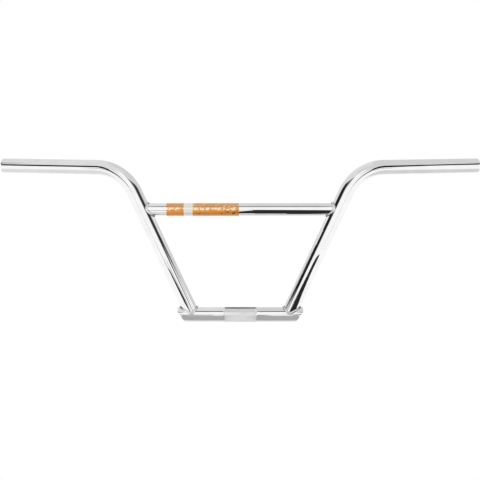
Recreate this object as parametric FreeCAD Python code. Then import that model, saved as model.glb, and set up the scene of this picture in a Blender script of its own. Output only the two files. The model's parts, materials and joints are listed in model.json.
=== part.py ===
import FreeCAD, Part
import math
import os

from FreeCAD import Vector

# A chrome-plated BMX handlebar of the four-piece kind: two bent side tubes, a crossbar and a
# bottom tube, welded into one rigid piece. Millimetres. The origin is the middle of the clamp
# zone on the bottom tube's axis. +X is the rider's left, +Y points back to the rider, +Z is up.

# Overall form
bar_width = 737.0               # end to end, over the rims of the grip ends
bar_rise = 226.2                # bottom tube axis up to the centre of a grip end
back_sweep = 12.0               # degrees that the grips turn back to the rider
up_sweep = 1.25                 # degrees that the grips climb outwards
foot_half_spacing = 72.8        # middle of the bar to an upright's axis, on the bottom tube's axis
upright_lean = 25.0             # degrees from vertical, outwards
bend_radius = 66.0              # centre line of the bend between upright and grip

# Tubes
bar_diameter = 22.2             # side tubes and bottom tube, the size that grips, levers and stems fit
side_tube_wall = 1.25
bottom_tube_wall = 1.65
bottom_tube_overhang = 6.2      # past an upright's outer side, measured on the bottom tube's axis
bottom_tube_mitre = 34.0        # degrees that each end leans out, so that its top is the longer side
bottom_tube_tip = 3.4           # on from there to where the sharp top of an end is cut off square
crossbar_diameter = 19.05
crossbar_wall = 1.0
crossbar_height = 159.0         # above the bottom tube's axis

# Clamp zone, drawn as a plain band at the height of the knurl's crests
knurl_width = 48.0
knurl_height = 0.16

# Edges and cut ends
grip_end_chamfer = 0.5
mitre_end_chamfer = 0.4
cope_ear_trim = 2.2             # feather edge left off the ears of an upright's cope, along its axis

# Weld beads: round in section, centred a little below the wall of the tube that ends at the seam
foot_weld_radius = 2.4
crossbar_weld_radius = 2.4
weld_sink = 0.3
weld_runs = 16                  # straight runs that a bead is laid in, an even number

# Printed film on the right half of the crossbar, wrapped round it with its seam at the back
decal_length = 109.0
decal_end_gap = 23.7            # from the right upright's inner side, on the crossbar's axis
decal_thickness = 0.15
decal_glue = 0.05               # between the film and the crossbar
decal_wrap = 310.0              # degrees of the crossbar's round that it covers

# Worked out from the above
ORIGIN = Vector(0, 0, 0)
X_AXIS = Vector(1, 0, 0)
Y_AXIS = Vector(0, 1, 0)
bar_radius = bar_diameter / 2
crossbar_radius = crossbar_diameter / 2
lean = math.radians(upright_lean)
sweep = math.radians(back_sweep)
climb = math.radians(up_sweep)
upright_direction = Vector(math.sin(lean), 0, math.cos(lean))
grip_direction = Vector(
    math.cos(climb) * math.cos(sweep),
    math.cos(climb) * math.sin(sweep),
    math.sin(climb),
)
upright_half_width = bar_radius / math.cos(lean)    # of an upright, cut level

# The grip's end face is square to the grip, so its rim reaches further out than its centre.
rim_reach = bar_radius * math.sqrt(1 - grip_direction.x ** 2)
grip_end_x = bar_width / 2 - rim_reach
climb_per_x = grip_direction.z / grip_direction.x
corner_height = (bar_rise - (grip_end_x - foot_half_spacing) * climb_per_x) / (
    1 - math.tan(lean) * climb_per_x
)
foot = Vector(foot_half_spacing, 0, 0)
corner = foot + upright_direction * (corner_height / math.cos(lean))
grip_end = corner + grip_direction * ((grip_end_x - corner.x) / grip_direction.x)

# The bend is tangent to the upright and to the grip, in the plane that holds both.
bend_axis = upright_direction.cross(grip_direction)
bend_turn = upright_direction.getAngle(grip_direction)
bend_inset = bend_radius * math.tan(bend_turn / 2)
bend_start = corner - upright_direction * bend_inset
bend_end = corner + grip_direction * bend_inset
bend_centre = bend_start + bend_axis.cross(upright_direction).normalize() * bend_radius

# Where the crossbar's axis meets the left upright's axis
crossbar_joint = Vector(foot_half_spacing + crossbar_height * math.tan(lean), 0, crossbar_height)
clear_of_bar = bar_width        # long enough to reach past every tube


def rod_between(start, end, radius):
    """A plain round rod from one point to another."""
    run = end - start
    return Part.makeCylinder(radius, run.Length, start, run)


def side_rod(radius, past_end=0.0):
    """A solid rod along the left side tube's centre line: upright, bend and grip."""
    start = foot + upright_direction * cope_ear_trim
    upright = rod_between(start, bend_start, radius)
    section = Part.Face(Part.Wire(Part.makeCircle(radius, bend_start, upright_direction)))
    bend = section.revolve(bend_centre, bend_axis, math.degrees(bend_turn))
    grip = rod_between(bend_end, grip_end + grip_direction * past_end, radius)
    return upright.fuse([bend, grip]).removeSplitter()


def bottom_rod(radius, half_length):
    """A solid rod on the bottom tube's axis, centred on the origin."""
    return rod_between(X_AXIS * -half_length, X_AXIS * half_length, radius)


def mirrored(shape):
    """The same piece on the rider's right."""
    return shape.mirror(ORIGIN, X_AXIS)


def edges_round(shape, centre, reach):
    """The edges of a shape whose middles lie within reach of a centre, in any direction."""
    return [e for e in shape.Edges if (e.CenterOfMass - centre).Length < reach]


def side_tube():
    """The left side tube: open and chamfered at the grip, coped at the foot to sit on the bottom tube."""
    bore = side_rod(bar_radius - side_tube_wall, past_end=bar_radius)
    tube = side_rod(bar_radius).cut(bore)
    rims = edges_round(tube, grip_end, bar_radius / 10)
    tube = tube.makeChamfer(grip_end_chamfer, rims)
    return tube.cut(bottom_rod(bar_radius, clear_of_bar))


def bottom_tube():
    """The bottom tube: hollow, with its knurled band and its two open ends, mitred and squared off."""
    end_x = foot_half_spacing + upright_half_width + bottom_tube_overhang
    outside = bottom_rod(bar_radius, end_x + bottom_tube_tip)
    band = bottom_rod(bar_radius + knurl_height, knurl_width / 2)
    bore = bottom_rod(bar_radius - bottom_tube_wall, clear_of_bar)
    tube = outside.fuse(band).cut(bore)
    waste = Part.makeBox(clear_of_bar, clear_of_bar, clear_of_bar)
    waste.translate(Vector(end_x, -clear_of_bar / 2, -clear_of_bar / 2))
    waste.rotate(Vector(end_x, 0, 0), Y_AXIS, bottom_tube_mitre)
    tube = tube.cut([waste, mirrored(waste)])
    past_feet = [e for e in tube.Edges if abs(e.CenterOfMass.x) > foot_half_spacing]
    rims = [e for e in past_feet if not isinstance(e.Curve, Part.Line)]
    return tube.makeChamfer(mitre_end_chamfer, rims)


def crossbar():
    """The crossbar: hollow, both ends coped to the uprights."""
    left = Vector(crossbar_joint.x, 0, crossbar_height)
    right = Vector(-crossbar_joint.x, 0, crossbar_height)
    outside = rod_between(right, left, crossbar_radius)
    bore = rod_between(right, left, crossbar_radius - crossbar_wall)
    upright = side_rod(bar_radius)
    return outside.cut(bore).cut([upright, mirrored(upright)])


def seam_point(joint, ending, ending_radius, running, running_radius, turn):
    """A point of the seam where an ending tube meets the wall of a running tube at a joint of their axes.

    ending and running are the tubes' directions, turn is the angle round the ending tube.
    """
    beside_ending = (running - ending * running.dot(ending)).normalize()
    off_running = (ending - running * running.dot(ending)).normalize()
    across = ending_radius * math.sin(turn)
    along = ending_radius * math.cos(turn)
    reach = math.sqrt(running_radius ** 2 - across ** 2)
    advance = (reach - along * beside_ending.dot(off_running)) / ending.dot(off_running)
    return joint + ending * advance + beside_ending * along + Y_AXIS * across


def seam_bead(joint, ending, ending_radius, running, running_radius, radius):
    """A round bead along the closed seam of an ending tube on a running tube.

    It is laid in short straight runs, mitred into each other. Half of them stand on each side of Y = 0.
    """
    sunk = ending_radius - weld_sink
    step = 2 * math.pi / weld_runs
    turns = [(k + 0.5) * step for k in range(weld_runs // 2)]
    bends = [seam_point(joint, ending, sunk, running, running_radius, turn) for turn in turns]
    first = Vector(bends[0].x, 0, bends[0].z)
    last = Vector(bends[-1].x, 0, bends[-1].z)
    path = Part.makePolygon([first] + bends + [last])
    section = Part.Wire(Part.makeCircle(radius, first, Y_AXIS))
    half = path.makePipeShell([section], True, False, 1)
    return half.fuse(half.mirror(ORIGIN, Y_AXIS))


def foot_weld():
    """The bead round the left upright's foot, fitted to the bottom tube and the upright."""
    bead = seam_bead(foot, upright_direction, bar_radius, X_AXIS, bar_radius, foot_weld_radius)
    return bead.cut([bottom_rod(bar_radius, clear_of_bar), side_rod(bar_radius)])


def crossbar_weld():
    """The bead round the crossbar's left end, fitted to the crossbar and the upright."""
    inwards = X_AXIS * -1
    bead = seam_bead(
        crossbar_joint, inwards, crossbar_radius, upright_direction, bar_radius, crossbar_weld_radius
    )
    middle = Vector(0, 0, crossbar_height)
    return bead.cut([rod_between(middle, crossbar_joint, crossbar_radius), side_rod(bar_radius)])


def crossbar_decal():
    """The printed film: the strip's thin edge at the back, turned round the crossbar's axis."""
    start_x = -(crossbar_joint.x - upright_half_width - decal_end_gap)
    end_x = start_x + decal_length
    inside = crossbar_radius + decal_glue
    outside = inside + decal_thickness
    corners = ((start_x, inside), (end_x, inside), (end_x, outside), (start_x, outside))
    outline = [Vector(x, y, crossbar_height) for x, y in corners]
    strip_edge = Part.Face(Part.makePolygon(outline + outline[:1]))
    middle = Vector(0, 0, crossbar_height)
    strip_edge.rotate(middle, X_AXIS, (360 - decal_wrap) / 2)
    return strip_edge.revolve(middle, X_AXIS, decal_wrap)


def save(name, shape):
    """Write one node as a single solid."""
    shape.Solids[0].exportStep(os.path.join("parts", name + ".step"))


os.makedirs("parts", exist_ok=True)
left_side_tube = side_tube()
left_foot_weld = foot_weld()
left_crossbar_weld = crossbar_weld()
save("left_side_tube", left_side_tube)
save("right_side_tube", mirrored(left_side_tube))
save("bottom_tube", bottom_tube())
save("crossbar", crossbar())
save("left_foot_weld", left_foot_weld)
save("right_foot_weld", mirrored(left_foot_weld))
save("left_crossbar_weld", left_crossbar_weld)
save("right_crossbar_weld", mirrored(left_crossbar_weld))
save("crossbar_decal", crossbar_decal())
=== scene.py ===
import json
import math

import bmesh
import bpy
from bpy.props import FloatProperty, IntProperty, PointerProperty, StringProperty
from mathutils import Matrix, Vector


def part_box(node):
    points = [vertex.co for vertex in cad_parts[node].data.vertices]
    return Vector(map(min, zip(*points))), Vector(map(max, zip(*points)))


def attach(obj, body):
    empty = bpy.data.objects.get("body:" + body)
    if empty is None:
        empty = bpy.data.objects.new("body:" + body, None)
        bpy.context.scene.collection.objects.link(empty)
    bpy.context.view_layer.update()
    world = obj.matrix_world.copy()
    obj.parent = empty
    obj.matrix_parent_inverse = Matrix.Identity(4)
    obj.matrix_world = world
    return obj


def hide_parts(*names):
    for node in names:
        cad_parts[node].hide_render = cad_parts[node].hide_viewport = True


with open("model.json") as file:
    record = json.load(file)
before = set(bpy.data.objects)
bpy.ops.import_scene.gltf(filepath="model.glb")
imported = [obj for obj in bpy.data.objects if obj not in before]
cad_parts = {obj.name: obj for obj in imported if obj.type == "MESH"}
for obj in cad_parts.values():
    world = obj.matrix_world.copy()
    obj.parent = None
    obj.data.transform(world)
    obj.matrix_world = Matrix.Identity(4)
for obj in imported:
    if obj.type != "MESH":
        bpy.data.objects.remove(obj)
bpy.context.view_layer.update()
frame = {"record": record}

bl_info = {
    "name": "Chromed BMX handlebar",
    "version": (1, 0, 0),
    "blender": (4, 5, 0),
    "location": "3D View > Sidebar > Handlebar",
    "description": "Chrome-plated tubes, weld beads, knurl and printed film for a welded handlebar",
    "category": "Object",
}

# The frame's own facts, in metres
MM = 0.001
MOUNTS = {mount["name"]: mount for mount in frame["record"]["mounts"]}
GRIP_POINT = Vector(MOUNTS["left_grip"]["pos_m"])
GRIP_DIRECTION = Vector(MOUNTS["left_grip"]["axis"]).normalized()
CROSSBAR_LOW, CROSSBAR_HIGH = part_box("crossbar")
FILM_LOW, FILM_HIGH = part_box("crossbar_decal")
BOTTOM_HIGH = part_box("bottom_tube")[1]
CROSSBAR_HEIGHT = (CROSSBAR_HIGH.z + CROSSBAR_LOW.z) / 2

X_AXIS = Vector((1, 0, 0))
Y_AXIS = Vector((0, 1, 0))
Z_AXIS = Vector((0, 0, 1))

SAME_PLACE = 1e-7  # points this close are one
SAME_RING = 1e-6  # a bead's last ring falls this close on its first
SHARP_EDGE = math.radians(35)  # edges from here up stay sharp
SENSOR_WIDTH = 36.0  # of the camera, in millimetres


def length(name, description, default):
    """A size in metres that a user may change."""
    return FloatProperty(name=name, description=description, default=default, unit="LENGTH", precision=5)


def angle(name, description, degrees):
    """An angle that a user may change."""
    return FloatProperty(name=name, description=description, default=math.radians(degrees), subtype="ANGLE")


def count(name, description, default):
    """A whole number that a user may change."""
    return IntProperty(name=name, description=description, default=default, min=3)


def tint(name, description, default):
    """A colour as an sRGB hex value."""
    return StringProperty(name=name, description=description, default=default)


class HandlebarSizes(bpy.types.PropertyGroup):
    """Sizes of the tubes, ends, beads, knurl and film."""

    bar_width: length("Bar width", "End to end, over the rims of the grip ends", 0.737)
    bar_radius: length(
        "Bar radius", "Outside of the side tubes and bottom tube", MOUNTS["left_grip"]["dims"]["r_mm"] * MM
    )
    side_bore: length("Side bore", "Inside of the side tubes", MOUNTS["left_bar_end"]["dims"]["r_mm"] * MM)
    bottom_bore: length("Bottom bore", "Inside of the bottom tube", 0.00945)
    foot_half_spacing: length("Foot half spacing", "Middle of the bar to an upright's axis", 0.0728)
    bend_radius: length("Bend radius", "Centre line of the bend between upright and grip", 0.066)
    bottom_reach: length("Bottom reach", "Middle of the bar to a tip of the bottom tube", BOTTOM_HIGH.x)
    bottom_tip: length("Bottom tip", "Square-cut tip of a mitred end, past the mitre on the axis", 0.0034)
    bottom_mitre: angle("Bottom mitre", "Lean of the bottom tube's ends", 34.0)
    crossbar_radius: length(
        "Crossbar radius", "Outside of the crossbar", (CROSSBAR_HIGH.z - CROSSBAR_LOW.z) / 2
    )
    crossbar_height: length("Crossbar height", "Crossbar's axis above the bottom tube's", CROSSBAR_HEIGHT)
    crossbar_wall: length("Crossbar wall", "Wall of the crossbar", 0.001)
    end_round: length("End round", "Rounding of the cut ends' rims", 0.00055)
    rim_margin: length("Rim margin", "Ring beside an edge, which keeps the tube straight up to it", 0.002)
    cope_sink: length("Cope sink", "How far a coped end goes into the other tube's wall", 0.0007)

    knurl_radius: length("Knurl radius", "Crests of the knurl", MOUNTS["stem_clamp"]["dims"]["r_mm"] * MM)
    knurl_width: length(
        "Knurl width", "Clamp zone along the bar", MOUNTS["stem_clamp"]["dims"]["length_mm"] * MM
    )
    knurl_depth: length("Knurl depth", "Crests down to the grooves", 0.00007)
    knurl_count: count("Knurl count", "Diamonds round the bar", 72)

    bead_radius: length("Bead radius", "Round of a weld bead", 0.0022)
    bead_sink: length("Bead sink", "Bead's centre below the wall of the tube that ends there", 0.0003)
    ripple_pitch: length("Ripple pitch", "From one ripple of a bead to the next", 0.0018)
    ripple_height: length("Ripple height", "Ripples above their valleys", 0.0002)

    film_radius: length("Film radius", "Outside of the printed film", FILM_HIGH.z - CROSSBAR_HEIGHT)
    film_thickness: length("Film thickness", "Thickness of the printed film", 0.00015)
    film_start: length("Film start", "Film's end near the right upright", FILM_LOW.x)
    film_end: length("Film end", "Film's end at the middle of the crossbar", FILM_HIGH.x)
    film_wrap: angle("Film wrap", "Angle of the crossbar's round that the film covers", 310.0)

    tube_segments: count("Tube segments", "Faces round a tube", 96)
    bend_segments: count("Bend segments", "Faces along a bend", 48)
    rim_segments: count("Rim segments", "Faces across a rounded rim", 3)
    knurl_segments: count("Knurl segments", "Faces across one diamond", 4)
    bead_segments: count("Bead segments", "Faces round a bead", 20)
    ripple_segments: count("Ripple segments", "Faces along one ripple", 6)
    film_segments: count("Film segments", "Faces along the film", 21)


class HandlebarFinish(bpy.types.PropertyGroup):
    """Colours of the plating, the film and the studio."""

    chrome: tint("Chrome", "Bright chrome plate", "#F9F9F9")
    chrome_shade: tint("Chrome shade", "Hazier patches of the plate", "#F3F3F3")
    # Painted shade: the dark crevices along a weld bead's toes
    painted_toe_shade: tint("Weld toe", "Dull plate along the edges of a weld bead", "#1C1C1C")
    orange: tint("Orange", "Main print of the film", "#EA932A")
    # Painted reflection: the tan stands for the grey overhead mirrored in the film's top
    tan: tint("Tan", "Upper part of the film's print", "#DA9D60")
    pale: tint("Pale", "Pale panel of the film", "#EFEBE7")
    # Painted highlight: the cream flecks are print specks that carry a highlight on the film
    cream_highlight: tint("Cream", "Pale flecks of the film", "#FFE6C4")
    # Painted reflection: the dark flecks are print specks that carry a dark band mirrored in the film
    dark: tint("Dark", "Dark flecks of the film", "#5A3208")
    floor: tint("Floor", "Pale studio floor", "#FBFBFB")
    background: tint("Background", "White behind the bar, and its even light", "#FFFFFF")
    studio: tint("Studio", "Light wall that the chrome mirrors in front", "#FFFFFF")
    overhead: tint("Overhead", "Pale grey that the chrome mirrors above and behind", "#E3E3E3")
    overhead_dim: tint("Dim overhead", "The same on the bar's left", "#D8D8D8")
    strip: tint("Strip", "Dark gaps round the studio, and the line along the grips", "#1E1E1E")
    dim: tint("Dim card", "Grey cards over the clamp zone and beside the left bend", "#5C5C5C")
    card: tint("Card", "Dark cards that the tubes mirror in front", "#292929")
    # Painted shade: the greys of the table top stand for it lying in shade under the bar, paler under the
    # clamp zone
    shaded_table: tint("Table", "Grey table top under the bottom tube", "#AEAEAE")
    shaded_table_pale: tint("Pale table", "Paler part of the table, under the clamp zone", "#E2E2E2")


class HandlebarStage(bpy.types.PropertyGroup):
    """The camera, the floor and the light."""

    camera_distance: length("Camera distance", "Camera in front of the bar", 1.489)
    camera_height: length("Camera height", "Camera above the bottom tube's axis", 0.183)
    aim_height: length("Aim height", "Height that the camera looks at", 0.113)
    focal_length: FloatProperty(
        name="Focal length", description="Camera lens, in millimetres on a 36 mm sensor", default=74.0
    )
    shift: FloatProperty(
        name="Shift",
        description="Sideways shift of the picture, as a share of its width",
        default=-0.00075,
        precision=5,
    )
    floor_drop: length("Floor drop", "Floor below the bottom tube's axis", 0.45)
    floor_half_width: length("Floor half width", "Middle of the floor to its edges", 20.0)
    lamp_strength: FloatProperty(name="Lamp strength", description="Strength of the soft lamp", default=0.7)
    lamp_size: angle("Lamp size", "Width of the lamp as the bar sees it, which softens the shadow", 35)
    lamp_front: angle("Lamp front", "How far the lamp stands to the front of straight above", 28)
    lamp_side: angle("Lamp side", "How far it stands to the bar's left, or with a minus to its right", -12)
    light_strength: FloatProperty(
        name="Light strength", description="Even light from all round", default=0.85
    )


class CentreLine:
    """The bar's centre lines: the left upright, bend and grip, and where the crossbar meets them."""

    def __init__(self, sizes):
        self.foot = X_AXIS * sizes.foot_half_spacing
        self.grip_direction = GRIP_DIRECTION
        self.corner = GRIP_POINT - GRIP_DIRECTION * (GRIP_POINT.y / GRIP_DIRECTION.y)
        self.upright_direction = (self.corner - self.foot).normalized()
        rim_reach = sizes.bar_radius * math.sqrt(1 - GRIP_DIRECTION.x**2)
        grip_end_x = sizes.bar_width / 2 - rim_reach
        self.grip_end = self.corner + GRIP_DIRECTION * ((grip_end_x - self.corner.x) / GRIP_DIRECTION.x)
        self.bend_axis = self.upright_direction.cross(GRIP_DIRECTION).normalized()
        self.bend_turn = self.upright_direction.angle(GRIP_DIRECTION)
        inset = sizes.bend_radius * math.tan(self.bend_turn / 2)
        self.bend_start = self.corner - self.upright_direction * inset
        self.bend_end = self.corner + GRIP_DIRECTION * inset
        inwards = self.bend_axis.cross(self.upright_direction)
        self.bend_centre = self.bend_start + inwards * sizes.bend_radius
        climb = sizes.crossbar_height / self.upright_direction.z
        self.crossbar_joint = self.foot + self.upright_direction * climb


# Shaping


def only(kind, items):
    """The items of one bmesh kind."""
    return [item for item in items if isinstance(item, kind)]


def facing(centre, direction):
    """A matrix that puts a flat ring at a centre, square to a direction."""
    return Matrix.Translation(centre) @ Z_AXIS.rotation_difference(direction).to_matrix().to_4x4()


def ring(bm, matrix, radius, segments):
    """A ring of edges, placed by a matrix."""
    verts = bmesh.ops.create_circle(bm, radius=radius, segments=segments, matrix=matrix)["verts"]
    return list({edge for vert in verts for edge in vert.link_edges})


def ring_verts(edges):
    """The vertices of a ring of edges."""
    return list({vert for edge in edges for vert in edge.verts})


def extruded(bm, edges, matrix):
    """Extrude a ring of edges by a matrix, and give the new ring."""
    geom = bmesh.ops.extrude_edge_only(bm, edges=edges)["geom"]
    verts = only(bmesh.types.BMVert, geom)
    bmesh.ops.transform(bm, matrix=matrix, verts=verts)
    moved = set(verts)
    return [edge for edge in only(bmesh.types.BMEdge, geom) if moved.issuperset(edge.verts)]


def cope(edges, direction, joint, axis, radius):
    """Slide a ring's vertices along the tube, each until it meets another tube's round."""
    across = direction - axis * direction.dot(axis)
    for vert in ring_verts(edges):
        away = vert.co - joint
        away -= axis * away.dot(axis)
        half = away.dot(across)
        spare = half**2 - across.length_squared * (away.length_squared - radius**2)
        vert.co += direction * (-half - math.sqrt(max(spare, 0))) / across.length_squared


def capped(bm, *ends):
    """Close a tube's open ends, each between its outer and inner ring."""
    for edges in ends:
        bmesh.ops.bridge_loops(bm, edges=edges)
        bmesh.ops.recalc_face_normals(bm, faces=bm.faces)


def rounded(bm, rims, sizes):
    """Round the rims of a closed tube's cut ends."""
    bmesh.ops.bevel(
        bm,
        geom=rims,
        offset=sizes.end_round,
        segments=sizes.rim_segments,
        profile=0.5,
        affect="EDGES",
        material=-1,
    )


def mirrored(bm):
    """The same shape on the rider's right."""
    twin = bm.copy()
    bmesh.ops.transform(twin, matrix=Matrix.Scale(-1, 4, X_AXIS), verts=twin.verts)
    return twin


def finished(bm, name, material, slot, *nodes):
    """Make a piece of a bmesh: closed, facing outwards, smooth, and standing for its nodes."""
    bmesh.ops.remove_doubles(bm, verts=bm.verts, dist=SAME_PLACE)
    bmesh.ops.recalc_face_normals(bm, faces=bm.faces)
    for edge in bm.edges:
        edge.smooth = edge.is_manifold and edge.calc_face_angle() < SHARP_EDGE
    for face in bm.faces:
        face.smooth = True
    mesh = bpy.data.meshes.new(name)
    bm.to_mesh(mesh)
    bm.free()
    mesh.materials.append(material)
    piece = bpy.data.objects.new(name, mesh)
    bpy.context.scene.collection.objects.link(piece)
    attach(piece, "root")
    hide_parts(*nodes)
    return piece


# Materials


def linear(hex_colour):
    """An sRGB hex value as linear red, green, blue and alpha."""
    parts = [int(hex_colour[k : k + 2], 16) / 255 for k in (1, 3, 5)]
    return [c / 12.92 if c <= 0.04045 else ((c + 0.055) / 1.055) ** 2.4 for c in parts] + [1.0]


def node(tree, kind, inputs=None, stops=(), **settings):
    """Add a node with its settings, its input values or links, and a ramp's stops of place and colour."""
    made = tree.nodes.new(kind)
    for name, value in settings.items():
        setattr(made, name, value)
    for name, value in (inputs or {}).items():
        if isinstance(value, bpy.types.NodeSocket):
            tree.links.new(value, made.inputs[name])
        else:
            made.inputs[name].default_value = value
    for number, (place, colour) in enumerate(stops):
        elements = made.color_ramp.elements
        element = elements[number] if number < len(elements) else elements.new(place)
        element.position = place
        element.color = colour
    return made


def new_material(name):
    """An empty node material."""
    material = bpy.data.materials.new(name)
    material.use_nodes = True
    material.node_tree.nodes.clear()
    return material


def chrome_plate(name, colours, roughness, waves):
    """Bright chrome plate over steel tube, polished before plating.

    A neutral mirror. It is a little hazy in cloudy patches, and its reflections run unevenly where the
    polishing wheel left the steel wavy. The waves are drawn coarser than real ones, so that they show.
    The knurl's plate is satin, because rolled steel isn't polished, and blurs what it mirrors.
    """
    cloud_size, wave_size = 18 * MM, 9 * MM
    material = new_material(name)
    tree = material.node_tree
    place = node(tree, "ShaderNodeTexCoord").outputs["Object"]
    clouds = node(
        tree,
        "ShaderNodeTexNoise",
        {"Vector": place, "Scale": 1 / cloud_size, "Detail": 3.0, "Roughness": 0.6},
    )
    colour = node(
        tree,
        "ShaderNodeValToRGB",
        {"Fac": clouds.outputs["Fac"]},
        stops=[(0.35, linear(colours.chrome_shade)), (0.65, linear(colours.chrome))],
    )
    haze = node(
        tree,
        "ShaderNodeMapRange",
        {
            "Value": clouds.outputs["Fac"],
            "From Min": 0.3,
            "From Max": 0.7,
            "To Min": roughness * 0.7,
            "To Max": roughness * 1.3,
        },
    )
    polish = node(
        tree,
        "ShaderNodeTexNoise",
        {"Vector": place, "Scale": 1 / wave_size, "Detail": 1.0, "Roughness": 0.5},
    )
    bump = node(
        tree,
        "ShaderNodeBump",
        {"Height": polish.outputs["Fac"], "Strength": 1.0, "Distance": waves},
    )
    shader = node(
        tree,
        "ShaderNodeBsdfPrincipled",
        {
            "Base Color": colour.outputs["Color"],
            "Metallic": 1.0,
            "Roughness": haze.outputs["Result"],
            "Normal": bump.outputs["Normal"],
        },
    )
    node(tree, "ShaderNodeOutputMaterial", {"Surface": shader.outputs["BSDF"]})
    return material


def weld_chrome(colours):
    """Chrome plate over an unground weld bead: bright on its back, with painted shade in the crevices along
    its toes.

    The painted shade is darkest at the ends of the seam.
    """
    material = chrome_plate("chrome_over_weld", colours, roughness=0.06, waves=0.006 * MM)
    tree = material.node_tree
    place = node(tree, "ShaderNodeUVMap", uv_map="rise").outputs["UV"]
    rise = node(tree, "ShaderNodeSeparateXYZ", {0: place})
    # Painted shade: the crevices darken further towards the seam's ends
    clear = node(
        tree,
        "ShaderNodeMapRange",
        {"Value": rise.outputs["Y"], "From Min": 0.55, "From Max": 0.95, "To Min": 0.45, "To Max": 0.0},
    )
    bright = node(
        tree, "ShaderNodeMath", {0: rise.outputs["X"], 1: clear.outputs["Result"]}, operation="ADD"
    )
    # Painted shade along the bead's toes, rising to bright chrome on its back
    shade = node(
        tree,
        "ShaderNodeValToRGB",
        {"Fac": bright.outputs[0]},
        stops=[(0.25, linear(colours.painted_toe_shade)), (0.75, linear(colours.chrome))],
    )
    shader = next(made for made in tree.nodes if made.type == "BSDF_PRINCIPLED")
    tree.links.new(shade.outputs["Color"], shader.inputs["Base Color"])


def printed_film(colours):
    """Glossy vinyl film printed in metallic orange ink.

    The ink lets some of the mirror below through. It turns unevenly to tan towards its top, a painted
    reflection of the grey overhead. A pale panel crosses it. Pale flecks are strewn along its front, print
    specks with a painted highlight, and dark ones lower down, print specks with a painted reflection of a
    dark band, both drawn coarser than real print, so that they show.
    """
    mottle_size, unevenness, fleck_blur = 5 * MM, 0.3, 0.05
    panel_middle, panel_half = 0.2995, 0.0615
    tree = new_material("printed_vinyl_film").node_tree
    place = node(tree, "ShaderNodeUVMap", uv_map="film").outputs["UV"]
    parts = node(tree, "ShaderNodeSeparateXYZ", {0: place}).outputs
    on_bar = node(tree, "ShaderNodeTexCoord").outputs["Object"]
    mottle = node(tree, "ShaderNodeTexNoise", {"Vector": on_bar, "Scale": 1 / mottle_size, "Detail": 2.0})
    # Painted reflection: the ink turns unevenly to tan towards the film's top, where it mirrors the grey
    # overhead
    mottled_shade_rise = node(
        tree,
        "ShaderNodeMath",
        {0: mottle.outputs["Fac"], 1: unevenness, 2: parts["Y"]},
        operation="MULTIPLY_ADD",
    )
    up = node(tree, "ShaderNodeMapRange", {"Value": mottled_shade_rise.outputs[0], "From Min": 0.08, "From Max": 0.21})
    ink = node(
        tree,
        "ShaderNodeMix",
        {"Factor": up.outputs["Result"], 6: linear(colours.orange), 7: linear(colours.tan)},
        data_type="RGBA",
    ).outputs[2]
    # Flecks: size, rarity, their row's place and half width round the bar, and where it starts along it
    for colour, size, rarity, turn, half_width, start in (
        # Cream flecks: print specks that carry a painted highlight along the film's front
        (colours.cream_highlight, 2.9 * MM, 0.44, 0.018, 0.036, 0.0),
        (colours.cream_highlight, 2.8 * MM, 0.6, 0.125, 0.05, 0.35),
        # Dark flecks: print specks that carry a painted reflection of a dark band low on the film
        (colours.dark, 3.6 * MM, 0.58, -0.088, 0.04, 0.4),
    ):
        specks = node(tree, "ShaderNodeTexNoise", {"Vector": on_bar, "Scale": 1 / size, "Detail": 1.0})
        fleck = node(
            tree,
            "ShaderNodeMapRange",
            {"Value": specks.outputs["Fac"], "From Min": rarity, "From Max": rarity + fleck_blur},
        )
        row = node(tree, "ShaderNodeMath", {0: parts["Y"], 1: turn, 2: half_width}, operation="COMPARE")
        past = node(tree, "ShaderNodeMath", {0: parts["X"], 1: start}, operation="GREATER_THAN")
        where = node(tree, "ShaderNodeMath", {0: row.outputs[0], 1: past.outputs[0]}, operation="MULTIPLY")
        amount = node(
            tree, "ShaderNodeMath", {0: where.outputs[0], 1: fleck.outputs["Result"]}, operation="MULTIPLY"
        )
        ink = node(
            tree, "ShaderNodeMix", {"Factor": amount.outputs[0], 6: ink, 7: linear(colour)}, data_type="RGBA"
        ).outputs[2]
    panel = node(
        tree, "ShaderNodeMath", {0: parts["X"], 1: panel_middle, 2: panel_half}, operation="COMPARE"
    )
    colour = node(
        tree,
        "ShaderNodeMix",
        {"Factor": panel.outputs[0], 6: ink, 7: linear(colours.pale)},
        data_type="RGBA",
    )
    shader = node(
        tree,
        "ShaderNodeBsdfPrincipled",
        {
            "Base Color": colour.outputs[2],
            "Metallic": 0.6,
            "Roughness": 0.3,
            "Coat Weight": 0.6,
            "Coat Roughness": 0.05,
        },
    )
    node(tree, "ShaderNodeOutputMaterial", {"Surface": shader.outputs["BSDF"]})


# Pieces


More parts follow.
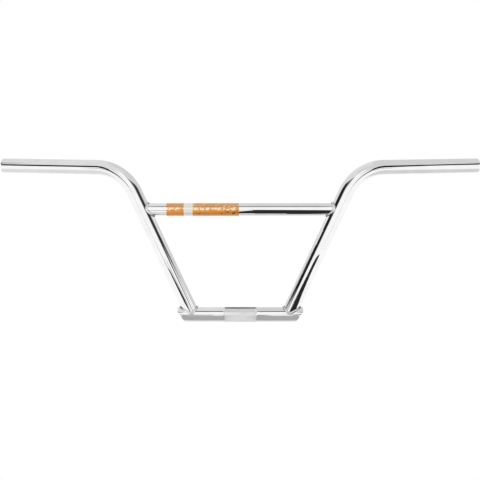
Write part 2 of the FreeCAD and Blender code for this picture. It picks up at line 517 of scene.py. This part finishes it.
class HANDLEBAR_OT_side_tubes(bpy.types.Operator):
    """Make the two bent side tubes, open at the grips and coped at the feet"""

    bl_idname = "handlebar.side_tubes"
    bl_label = "Side tubes"

    def execute(self, context):
        sizes = context.scene.handlebar_sizes
        line = CentreLine(sizes)
        bm = bmesh.new()
        feet, grips = [], []
        for radius in (sizes.bar_radius, sizes.side_bore):
            start = line.foot + line.upright_direction * sizes.bar_radius * 2
            foot = ring(bm, facing(start, line.upright_direction), radius, sizes.tube_segments)
            upright = extruded(bm, foot, Matrix.Translation(line.bend_start - start))
            bend = bmesh.ops.spin(
                bm,
                geom=upright,
                cent=line.bend_centre,
                axis=line.bend_axis,
                angle=line.bend_turn,
                steps=sizes.bend_segments,
            )
            last = only(bmesh.types.BMEdge, bend["geom_last"])
            margin = line.grip_direction * sizes.rim_margin
            before_end = extruded(bm, last, Matrix.Translation(line.grip_end - line.bend_end - margin))
            grip = extruded(bm, before_end, Matrix.Translation(margin))
            cope(foot, -line.upright_direction, Vector(), X_AXIS, sizes.bar_radius - sizes.cope_sink)
            feet += foot
            grips += grip
        capped(bm, feet, grips)
        rounded(bm, grips, sizes)
        chrome = bpy.data.materials["polished_chrome_plate"]
        twin = mirrored(bm)
        finished(bm, "side_tube_left", chrome, "chrome_tube", "left_side_tube")
        finished(twin, "side_tube_right", chrome, "chrome_tube", "right_side_tube")
        return {"FINISHED"}


class HANDLEBAR_OT_crossbar(bpy.types.Operator):
    """Make the crossbar, coped to the uprights"""

    bl_idname = "handlebar.crossbar"
    bl_label = "Crossbar"

    def execute(self, context):
        sizes = context.scene.handlebar_sizes
        line = CentreLine(sizes)
        right_joint = Vector((-line.crossbar_joint.x, 0, line.crossbar_joint.z))
        right_upright = Vector((-line.upright_direction.x, 0, line.upright_direction.z))
        reach = sizes.bar_radius - sizes.cope_sink
        bm = bmesh.new()
        lefts, rights = [], []
        for radius in (sizes.crossbar_radius, sizes.crossbar_radius - sizes.crossbar_wall):
            right = ring(bm, facing(Z_AXIS * sizes.crossbar_height, X_AXIS), radius, sizes.tube_segments)
            left = extruded(bm, right, Matrix.Translation(X_AXIS * sizes.bar_radius))
            cope(right, -X_AXIS, right_joint, right_upright, reach)
            cope(left, X_AXIS, line.crossbar_joint, line.upright_direction, reach)
            lefts += left
            rights += right
        capped(bm, lefts, rights)
        chrome = bpy.data.materials["polished_chrome_plate"]
        finished(bm, "crossbar_tube", chrome, "chrome_tube", "crossbar")
        return {"FINISHED"}


class HANDLEBAR_OT_bottom_tube(bpy.types.Operator):
    """Make the bottom tube with its knurled clamp zone and its mitred open ends"""

    bl_idname = "handlebar.bottom_tube"
    bl_label = "Bottom tube"

    def execute(self, context):
        sizes = context.scene.handlebar_sizes
        bm = bmesh.new()
        around = sizes.knurl_count * sizes.knurl_segments
        pitch = 2 * math.pi * sizes.bar_radius / sizes.knurl_count
        rows = round(sizes.knurl_width / pitch * sizes.knurl_segments)
        end = sizes.bottom_reach
        half_knurl = sizes.knurl_width / 2
        beside = half_knurl + sizes.end_round
        rings = (half_knurl, beside, beside + sizes.rim_margin, sizes.foot_half_spacing, end)
        places = sorted(side * x for x in rings for side in (-1, 1))
        outline = [bm.verts.new((x, 0, sizes.bar_radius)) for x in places]
        runs = [bm.edges.new(pair) for pair in zip(outline, outline[1:])]
        bmesh.ops.subdivide_edges(bm, edges=[runs[len(rings) - 1]], cuts=rows - 1)
        bore = [bm.verts.new((x, 0, sizes.bottom_bore)) for x in (-end, end)]
        bm.edges.new(bore)
        bmesh.ops.spin(
            bm,
            geom=bm.verts[:] + bm.edges[:],
            cent=Vector(),
            axis=X_AXIS,
            angle=2 * math.pi,
            steps=around,
            use_merge=True,
        )
        bmesh.ops.remove_doubles(bm, verts=bm.verts, dist=SAME_PLACE)
        self.press_knurl(bm, sizes, pitch)
        for side in (1, -1):
            bmesh.ops.bisect_plane(
                bm,
                geom=bm.verts[:] + bm.edges[:] + bm.faces[:],
                plane_co=X_AXIS * side * (end - sizes.bottom_tip),
                plane_no=Vector((side * math.cos(sizes.bottom_mitre), 0, -math.sin(sizes.bottom_mitre))),
                clear_outer=True,
            )
        rims = [edge for edge in bm.edges if edge.is_boundary]
        capped(bm, *([edge for edge in rims if edge.verts[0].co.x * side > 0] for side in (1, -1)))
        rounded(bm, rims, sizes)
        chrome = bpy.data.materials["polished_chrome_plate"]
        piece = finished(bm, "bottom_tube_knurled", chrome, "chrome_tube", "bottom_tube")
        piece.data.materials.append(bpy.data.materials["satin_chrome_knurl"])
        for face in piece.data.polygons:
            if abs(face.center.x) < half_knurl and face.normal.dot(Vector((0, *face.center.yz))) > 0:
                face.material_index = 1
        return {"FINISHED"}

    def press_knurl(self, bm, sizes, pitch):
        """Raise the diamonds: two crossed sets of grooves, one each way round the bar."""
        inside = (sizes.knurl_width + sizes.end_round) / 2
        within_wall = (sizes.bottom_bore + sizes.bar_radius) / 2
        flat_crest = 1.25  # cuts the tops of the ridges flat
        for vert in bm.verts:
            out = Vector((0, *vert.co.yz))
            if abs(vert.co.x) > inside or out.length < within_wall:
                continue
            along = vert.co.x / pitch
            round_bar = math.atan2(vert.co.z, vert.co.y) * sizes.knurl_count / (2 * math.pi)
            ridges = [1 - abs(2 * (share % 1) - 1) for share in (along + round_bar, along - round_bar)]
            rise = min(1.0, flat_crest * min(ridges)) - 1
            vert.co += out.normalized() * (sizes.knurl_radius - sizes.bar_radius + rise * sizes.knurl_depth)


class HANDLEBAR_OT_welds(bpy.types.Operator):
    """Lay the rippled weld beads round the feet and the crossbar's ends"""

    bl_idname = "handlebar.welds"
    bl_label = "Weld beads"

    def execute(self, context):
        sizes = context.scene.handlebar_sizes
        line = CentreLine(sizes)
        chrome = bpy.data.materials["chrome_over_weld"]
        foot = self.bead(sizes, line.foot, line.upright_direction, sizes.bar_radius, X_AXIS)
        crossbar = self.bead(
            sizes, line.crossbar_joint, -X_AXIS, sizes.crossbar_radius, line.upright_direction
        )
        for bm, seam in ((foot, "foot_weld"), (crossbar, "crossbar_weld")):
            twin = mirrored(bm)
            finished(bm, seam + "_bead_left", chrome, "chrome_weld", "left_" + seam)
            finished(twin, seam + "_bead_right", chrome, "chrome_weld", "right_" + seam)
        return {"FINISHED"}

    def seam_point(self, sizes, joint, ending, ending_radius, running, turn):
        """A point of the seam where an ending tube meets a running tube's wall."""
        beside = (running - ending * running.dot(ending)).normalized()
        off = (ending - running * running.dot(ending)).normalized()
        across = ending_radius * math.sin(turn)
        along = ending_radius * math.cos(turn)
        reach = math.sqrt(sizes.bar_radius**2 - across**2)
        advance = (reach - along * beside.dot(off)) / ending.dot(off)
        return joint + ending * advance + beside * along + Y_AXIS * across

    def bead(self, sizes, joint, ending, ending_radius, running):
        """A closed bead along a seam, with the ripples of each small pool of weld."""
        sunk = ending_radius - sizes.bead_sink

        def seam(turn):
            return self.seam_point(sizes, joint, ending, sunk, running, turn)

        seam_stretch = 1.15  # a seam's length over that of a plain ring
        ripples = round(2 * math.pi * sunk * seam_stretch / sizes.ripple_pitch)
        stations = ripples * sizes.ripple_segments
        step = 2 * math.pi / stations
        places = []
        for k in range(stations + 1):
            heading = seam((k + 0.5) * step) - seam((k - 0.5) * step)
            outwards = seam(k * step) - joint
            side = heading.cross(outwards).normalized()
            up = side.cross(heading).normalized()
            scallop = abs(math.sin(math.pi * k / sizes.ripple_segments))
            size = sizes.bead_radius - sizes.ripple_height * (1 - scallop)
            turned = Matrix((up, side, heading.normalized())).transposed().to_4x4()
            places.append(Matrix.Translation(seam(k * step)) @ turned @ Matrix.Scale(size, 4))
        bm = bmesh.new()
        edges = ring(bm, places[0], 1.0, sizes.bead_segments)
        for before, after in zip(places, places[1:]):
            edges = extruded(bm, edges, after @ before.inverted())
        bmesh.ops.remove_doubles(bm, verts=bm.verts, dist=SAME_RING)
        self.press_on(bm, joint, running, sizes.bar_radius - sizes.cope_sink)
        beside = (running - ending * running.dot(ending)).normalized()
        layer = bm.loops.layers.uv.new("rise")
        for loop in (loop for face in bm.faces for loop in face.loops):
            away = loop.vert.co - joint
            off_running = (away - running * away.dot(running)).length - sizes.bar_radius
            off_ending = (away - ending * away.dot(ending)).length - ending_radius
            rise = min(off_running, off_ending) / sizes.bead_radius
            loop[layer].uv = (rise, abs(away.dot(beside)) / ending_radius)
        return bm

    def press_on(self, bm, joint, axis, radius):
        """Keep a bead's underside within the running tube's wall."""
        for vert in bm.verts:
            away = vert.co - joint
            away -= axis * away.dot(axis)
            if away.length < radius:
                vert.co += away.normalized() * (radius - away.length)


class HANDLEBAR_OT_film(bpy.types.Operator):
    """Wrap the printed film round the right half of the crossbar"""

    bl_idname = "handlebar.film"
    bl_label = "Printed film"

    def execute(self, context):
        sizes = context.scene.handlebar_sizes
        middle = Z_AXIS * sizes.crossbar_height
        gap = (2 * math.pi - sizes.film_wrap) / 2
        bm = bmesh.new()
        edge = [
            bm.verts.new((x, sizes.film_radius, sizes.crossbar_height))
            for x in (sizes.film_start, sizes.film_end)
        ]
        bm.edges.new(edge)
        bmesh.ops.subdivide_edges(bm, edges=bm.edges[:], cuts=sizes.film_segments - 1)
        bmesh.ops.rotate(bm, cent=middle, matrix=Matrix.Rotation(gap, 3, "X"), verts=bm.verts)
        bmesh.ops.spin(
            bm,
            geom=bm.verts[:] + bm.edges[:],
            cent=middle,
            axis=X_AXIS,
            angle=sizes.film_wrap,
            steps=sizes.tube_segments,
        )
        bmesh.ops.recalc_face_normals(bm, faces=bm.faces)
        bmesh.ops.solidify(bm, geom=bm.faces[:], thickness=sizes.film_thickness)
        layer = bm.loops.layers.uv.new("film")
        for loop in (loop for face in bm.faces for loop in face.loops):
            place = loop.vert.co - middle
            along = (place.x - sizes.film_start) / (sizes.film_end - sizes.film_start)
            turn = math.atan2(place.z, -place.y) / (2 * math.pi)
            loop[layer].uv = (along, turn)
        film = bpy.data.materials["printed_vinyl_film"]
        piece = finished(bm, "crossbar_film", film, "printed_film", "crossbar_decal")
        piece.visible_glossy = False  # the tubes' mirror stays plain grey
        return {"FINISHED"}


# Stage

# Degrees round to the bar's left, from where to where a dark gap rises there, and how dark it is
DARK_GAPS = (
    (-128, -12, -12, 0),
    (-109, 10, 10, 0),
    (-101, 16.5, 23, 0.85),
    (-93, 17, 26, 1),
    (-85, 18.3, 32, 0.95),
    (-78, 19.8, 39.5, 1),
    (-58, 17.7, 42, 1),
    (-47, 14.3, 41.5, 1),
    (-40, 10, 41.5, 0.95),
    (-30, 16, 40.5, 0.7),
    (-24, 20, 39.5, 0.75),
    (-16, 22.5, 36, 0.65),
    (-11.5, 24, 32, 0),
    (-10.2, 47.5, 60, 0),
    (-9.6, 47.5, 60, 1),
    (9.6, 47.5, 60, 1),
    (10.2, 47.5, 60, 0),
    (11.5, 24, 32, 0),
    (18, 21.5, 36, 0.65),
    (24, 17.5, 37, 0.75),
    (27.5, 8, 37, 0.8),
    (33, 6, 37.5, 0.9),
    (36, 10.5, 38, 0.9),
    (45, 16.6, 38, 1),
    (55, 19.8, 38, 1),
    (63, 21.6, 37.5, 0.95),
    (72, 21.8, 35, 0.8),
    (80, 21.2, 32, 0.62),
    (90, 20.5, 28, 0.25),
    (96, 10, 10, 0),
    (128, -12, -12, 0),
)


def level_card(z, *corners):
    """The corners of a level card at one height."""
    return [(x, y, z) for x, y in corners]


def upright_card(y, *corners):
    """The corners of an upright card at one distance in front of the bar."""
    return [(x, y, z) for x, z in corners]


def other_side(corners):
    """A card's corners on the other side of the bar, in the order that keeps its face to the bar."""
    return [(-x, y, z) for x, y, z in reversed(corners)]


class HANDLEBAR_OT_stage(bpy.types.Operator):
    """Set the camera, the floor, the studio's light and what the chrome mirrors"""

    bl_idname = "handlebar.stage"
    bl_label = "Stage"

    def execute(self, context):
        stage = context.scene.handlebar_stage
        colours = context.scene.handlebar_finish
        self.camera(context, stage)
        self.floor(context, stage, colours)
        self.lamp(context, stage)
        self.front_cards(context, colours)
        self.table_cards(context, colours)
        self.grip_cards(context, colours)
        self.bend_cards(context, colours)
        self.world(context, stage, colours)
        context.scene.view_settings.view_transform = "Standard"
        return {"FINISHED"}

    def camera(self, context, stage):
        """A camera in front of the bar that looks slightly down."""
        data = bpy.data.cameras.new("camera")
        data.lens = stage.focal_length
        data.sensor_width = SENSOR_WIDTH
        data.shift_x = stage.shift
        camera = bpy.data.objects.new("camera", data)
        camera.location = (0, -stage.camera_distance, stage.camera_height)
        aim = Z_AXIS * stage.aim_height - camera.location
        camera.rotation_euler = aim.to_track_quat("-Z", "Y").to_euler()
        context.scene.collection.objects.link(camera)
        context.scene.camera = camera

    def floor(self, context, stage, colours):
        """A pale matt floor, well below the bar, that takes its shadow."""
        bm = bmesh.new()
        bmesh.ops.create_grid(bm, x_segments=1, y_segments=1, size=stage.floor_half_width)
        bmesh.ops.translate(bm, verts=bm.verts, vec=Z_AXIS * -stage.floor_drop)
        mesh = bpy.data.meshes.new("studio_floor")
        bm.to_mesh(mesh)
        bm.free()
        material = new_material("pale_studio_floor")
        tree = material.node_tree
        shader = node(tree, "ShaderNodeBsdfDiffuse", {"Color": linear(colours.floor)})
        node(tree, "ShaderNodeOutputMaterial", {"Surface": shader.outputs["BSDF"]})
        mesh.materials.append(material)
        floor = bpy.data.objects.new("studio_floor", mesh)
        floor.visible_glossy = False
        context.scene.collection.objects.link(floor)

    def lamp(self, context, stage):
        """A broad soft lamp from above, which the metal doesn't mirror."""
        data = bpy.data.lights.new("key_light", "SUN")
        data.energy = stage.lamp_strength
        data.angle = stage.lamp_size
        lamp = bpy.data.objects.new("key_light", data)
        lamp.rotation_euler = (stage.lamp_front, stage.lamp_side, 0)
        lamp.visible_glossy = False
        context.scene.collection.objects.link(lamp)

    def card(self, context, name, corners, hex_colour):
        """A flat card that only the metal mirrors, from the side where its corners run anticlockwise."""
        bm = bmesh.new()
        bm.faces.new([bm.verts.new(corner) for corner in corners])
        mesh = bpy.data.meshes.new(name)
        bm.to_mesh(mesh)
        bm.free()
        material = new_material(name)
        tree = material.node_tree
        face = node(tree, "ShaderNodeEmission", {"Color": linear(hex_colour), "Strength": 1.0})
        clear = node(tree, "ShaderNodeBsdfTransparent")
        back = node(tree, "ShaderNodeNewGeometry").outputs["Backfacing"]
        shader = node(tree, "ShaderNodeMixShader", {0: back, 1: face.outputs[0], 2: clear.outputs[0]})
        node(tree, "ShaderNodeOutputMaterial", {"Surface": shader.outputs[0]})
        mesh.materials.append(material)
        card = bpy.data.objects.new(name, mesh)
        card.visible_camera = False
        card.visible_diffuse = False
        card.visible_shadow = False
        context.scene.collection.objects.link(card)

    def front_cards(self, context, colours):
        """Dark cards in front: one level with the bottom tube, its far edge, and one by the right foot."""
        axis_z, edge_y, foot_y = 0.0, -0.95, -0.73
        corners = [(-0.015, -0.058), (-0.015, -0.1), (0.028, -0.6), (0.03, -2.4), (0.1, -2.4)]
        corners += [(0.267, -0.717), (0.3, -0.241), (0.23, -0.18), (0.173, -0.088), (0.127, -0.031)]
        corners += [(0.1, -0.0135), (0.079, -0.0135), (0.074, -0.058)]
        self.card(context, "black_card", level_card(axis_z, *corners), colours.card)
        corners = [(0.17, axis_z), (-0.15, axis_z), (-0.15, 0.053), (0.1, 0.03)]
        self.card(context, "black_edge", upright_card(edge_y, *corners), colours.card)
        corners = [(-0.06, -0.075), (-0.2, -0.12), (-0.41, -0.2), (-0.46, -0.19), (-0.62, -0.14)]
        corners += [(-0.62, -0.115), (-0.45, -0.118), (-0.3, -0.054), (-0.12, -0.019), (-0.06, -0.02)]
        self.card(context, "foot_card", upright_card(foot_y, *corners), colours.card)

    def table_cards(self, context, colours):
        """A grey table top under the bottom tube, whose grey is painted shade, paler at the clamp zone, its
        edge, and a card over it.
        """
        table_z, near, far, edge_y, over_z = -0.03, -0.004, -0.145, -0.14, 0.02
        half_zone, near_end, far_end = 0.0242, 0.094, 0.118
        # Painted shade: the table cards' greys, paler under the clamp zone
        for name, near_right, far_right, far_left, near_left, hex_colour in (
            ("table_right", -near_end, -far_end, -half_zone, -half_zone, colours.shaded_table),
            ("table_middle", -half_zone, -half_zone, half_zone, half_zone, colours.shaded_table_pale),
            ("table_left", half_zone, half_zone, far_end, near_end, colours.shaded_table),
        ):
            corners = [(near_right, near), (far_right, far), (far_left, far), (near_left, near)]
            self.card(context, name, level_card(table_z, *corners), hex_colour)
        corners = [(0.0255, table_z), (0.0255, -0.01), (0.052, -0.026), (0.052, table_z)]
        self.card(context, "table_edge", upright_card(edge_y, *corners), colours.card)
        corners = [(-half_zone, -0.003), (-half_zone, 0.017), (half_zone, 0.017), (half_zone, -0.003)]
        self.card(context, "clamp_card", level_card(over_z, *corners), colours.dim)

    def grip_cards(self, context, colours):
        """The dark line along each grip, and plain grey above it that keeps the room's gaps off it."""
        line_y = -0.3
        corners = [(-0.345, 0.125), (-0.385, 0.125), (-0.395, 0.21), (-0.64, 0.24)]
        corners += [(-0.64, 0.4), (-0.36, 0.34), (-0.335, 0.28), (-0.34, 0.2)]
        self.card(context, "right_grip_card", upright_card(line_y, *corners), colours.strip)
        corners = [(-0.35, 0.135), (-0.375, 0.135), (-0.39, 0.185), (-0.65, 0.405)]
        corners += [(-0.65, 0.483), (-0.36, 0.343), (-0.335, 0.28), (-0.345, 0.2)]
        self.card(context, "left_grip_card", other_side(upright_card(line_y, *corners)), colours.strip)
        corners = [(-0.23, -0.22, 0.243), (-1.35, -1.06, 0.57), (-1.35, -1.06, 1.8), (-0.23, -0.22, 0.9)]
        self.card(context, "right_grip_shade", corners, colours.overhead)
        corners = [(-0.23, -0.22, 0.243), (-1.35, -1.06, 0.82), (-1.35, -1.06, 1.8), (-0.23, -0.22, 0.9)]
        self.card(context, "left_grip_shade", other_side(corners), colours.overhead_dim)

    def bend_cards(self, context, colours):
        """Plain grey close over each bend, and the thin line that runs on from a grip down the upright."""
        over_z, line_y = 0.262, -0.73
        shade = level_card(over_z, (-0.23, -0.065), (-0.23, -0.015), (-0.155, -0.015), (-0.155, -0.065))
        self.card(context, "right_bend_shade", shade, colours.overhead)
        self.card(context, "left_bend_shade", other_side(shade), colours.overhead_dim)
        corners = [(-0.62, -0.125), (-0.66, -0.13), (-0.745, -0.025)]
        corners += [(-0.665, 0.03), (-0.63, 0.025), (-0.7, -0.025)]
        line = upright_card(line_y, *corners)
        self.card(context, "right_bend_card", line, colours.strip)
        self.card(context, "left_bend_card", other_side(line), colours.dim)

    def room(self, tree, colours):
        """What the metal mirrors: a white room, grey overhead and far below, with dark gaps round it."""
        place = node(tree, "ShaderNodeTexCoord").outputs["Generated"]
        way = node(tree, "ShaderNodeSeparateXYZ", {0: place}).outputs
        front = node(tree, "ShaderNodeMath", {0: way["Y"], 1: -1.0}, operation="MULTIPLY").outputs[0]
        turn = node(tree, "ShaderNodeMath", {0: way["X"], 1: front}, operation="ARCTAN2").outputs[0]
        share = node(tree, "ShaderNodeMapRange", {"Value": turn, "From Min": -math.pi, "From Max": math.pi})
        height = node(tree, "ShaderNodeMath", {0: way["Z"]}, operation="ARCSINE").outputs[0]

        # The ramp's red, green and blue hold a gap's lower edge, upper edge and darkness
        lowest, span = -60, 120
        gaps = node(
            tree,
            "ShaderNodeValToRGB",
            {"Fac": share.outputs["Result"]},
            stops=[
                (around / 360 + 0.5, ((low - lowest) / span, (high - lowest) / span, dark, 1))
                for around, low, high, dark in DARK_GAPS
            ],
        )
        parts = node(tree, "ShaderNodeSeparateColor", {0: gaps.outputs["Color"]}).outputs
        blur = math.radians(0.7)
        edges = []
        for part in parts[:2]:
            edge = node(
                tree,
                "ShaderNodeMath",
                {0: part, 1: math.radians(span), 2: math.radians(lowest)},
                operation="MULTIPLY_ADD",
            )
            above = node(tree, "ShaderNodeMath", {0: height, 1: edge.outputs[0]}, operation="SUBTRACT")
            past = node(
                tree, "ShaderNodeMapRange", {"Value": above.outputs[0], "From Min": -blur, "From Max": blur}
            )
            edges.append(past.outputs["Result"])
        over_low, over_high = edges
        between = node(
            tree, "ShaderNodeMath", {0: over_low, 1: over_high}, operation="SUBTRACT", use_clamp=True
        )
        in_gap = node(tree, "ShaderNodeMath", {0: between.outputs[0], 1: parts[2]}, operation="MULTIPLY")

        # Overhead turns dimmer from the bar's right to its left, and pale grey returns far below
        side, below, far_below = math.radians(20), math.radians(-40), math.radians(-50)
        to_left = node(tree, "ShaderNodeMapRange", {"Value": turn, "From Min": -side, "From Max": side})
        overhead = node(
            tree,
            "ShaderNodeMix",
            {
                "Factor": to_left.outputs["Result"],
                6: linear(colours.overhead),
                7: linear(colours.overhead_dim),
            },
            data_type="RGBA",
        )
        low = node(tree, "ShaderNodeMapRange", {"Value": height, "From Min": below, "From Max": far_below})
        pale = node(tree, "ShaderNodeMath", {0: over_high, 1: low.outputs["Result"]}, operation="MAXIMUM")
        room = linear(colours.studio)
        for factor, colour in (
            (pale.outputs[0], overhead.outputs[2]),
            (in_gap.outputs[0], linear(colours.strip)),
        ):
            mixed = node(tree, "ShaderNodeMix", {"Factor": factor, 6: room, 7: colour}, data_type="RGBA")
            room = mixed.outputs[2]
        return room

    def world(self, context, stage, colours):
        """White to the camera, even light to matt surfaces, and the room to the metal."""
        world = bpy.data.worlds.new("studio")
        world.use_nodes = True
        tree = world.node_tree
        tree.nodes.clear()
        white = linear(colours.background)
        rays = node(tree, "ShaderNodeLightPath").outputs
        seen = node(tree, "ShaderNodeBackground", {"Color": white, "Strength": 1.0})
        in_metal = node(tree, "ShaderNodeBackground", {"Color": self.room(tree, colours), "Strength": 1.0})
        light = node(tree, "ShaderNodeBackground", {"Color": white, "Strength": stage.light_strength})
        glossy = node(
            tree,
            "ShaderNodeMath",
            {0: rays["Is Glossy Ray"], 1: rays["Is Transmission Ray"]},
            operation="MAXIMUM",
        )
        unseen = node(
            tree,
            "ShaderNodeMixShader",
            {0: glossy.outputs[0], 1: light.outputs[0], 2: in_metal.outputs[0]},
        )
        mixed = node(
            tree,
            "ShaderNodeMixShader",
            {0: rays["Is Camera Ray"], 1: unseen.outputs[0], 2: seen.outputs[0]},
        )
        node(tree, "ShaderNodeOutputWorld", {"Surface": mixed.outputs[0]})
        context.scene.world = world


class HANDLEBAR_PT_panel(bpy.types.Panel):
    """The handlebar's pieces and the stage"""

    bl_idname = "HANDLEBAR_PT_panel"
    bl_label = "Handlebar"
    bl_space_type = "VIEW_3D"
    bl_region_type = "UI"
    bl_category = "Handlebar"

    def draw(self, context):
        for operator in PIECES:
            self.layout.operator(operator.bl_idname)


PIECES = (
    HANDLEBAR_OT_side_tubes,
    HANDLEBAR_OT_crossbar,
    HANDLEBAR_OT_bottom_tube,
    HANDLEBAR_OT_welds,
    HANDLEBAR_OT_film,
    HANDLEBAR_OT_stage,
)
CLASSES = (HandlebarSizes, HandlebarFinish, HandlebarStage, *PIECES, HANDLEBAR_PT_panel)


def register():
    for cls in CLASSES:
        bpy.utils.register_class(cls)
    bpy.types.Scene.handlebar_sizes = PointerProperty(type=HandlebarSizes)
    bpy.types.Scene.handlebar_finish = PointerProperty(type=HandlebarFinish)
    bpy.types.Scene.handlebar_stage = PointerProperty(type=HandlebarStage)


def unregister():
    del bpy.types.Scene.handlebar_stage
    del bpy.types.Scene.handlebar_finish
    del bpy.types.Scene.handlebar_sizes
    for cls in reversed(CLASSES):
        bpy.utils.unregister_class(cls)


def main():
    """Register the add-on, make the materials, and make the pieces and the stage in order."""
    register()
    colours = bpy.context.scene.handlebar_finish
    chrome_plate("polished_chrome_plate", colours, roughness=0.03, waves=0.0015 * MM)
    chrome_plate("satin_chrome_knurl", colours, roughness=0.36, waves=0.0015 * MM)
    weld_chrome(colours)
    printed_film(colours)
    for operator in PIECES:
        group, name = operator.bl_idname.split(".")
        getattr(getattr(bpy.ops, group), name)()


if __name__ == "__main__":
    main()
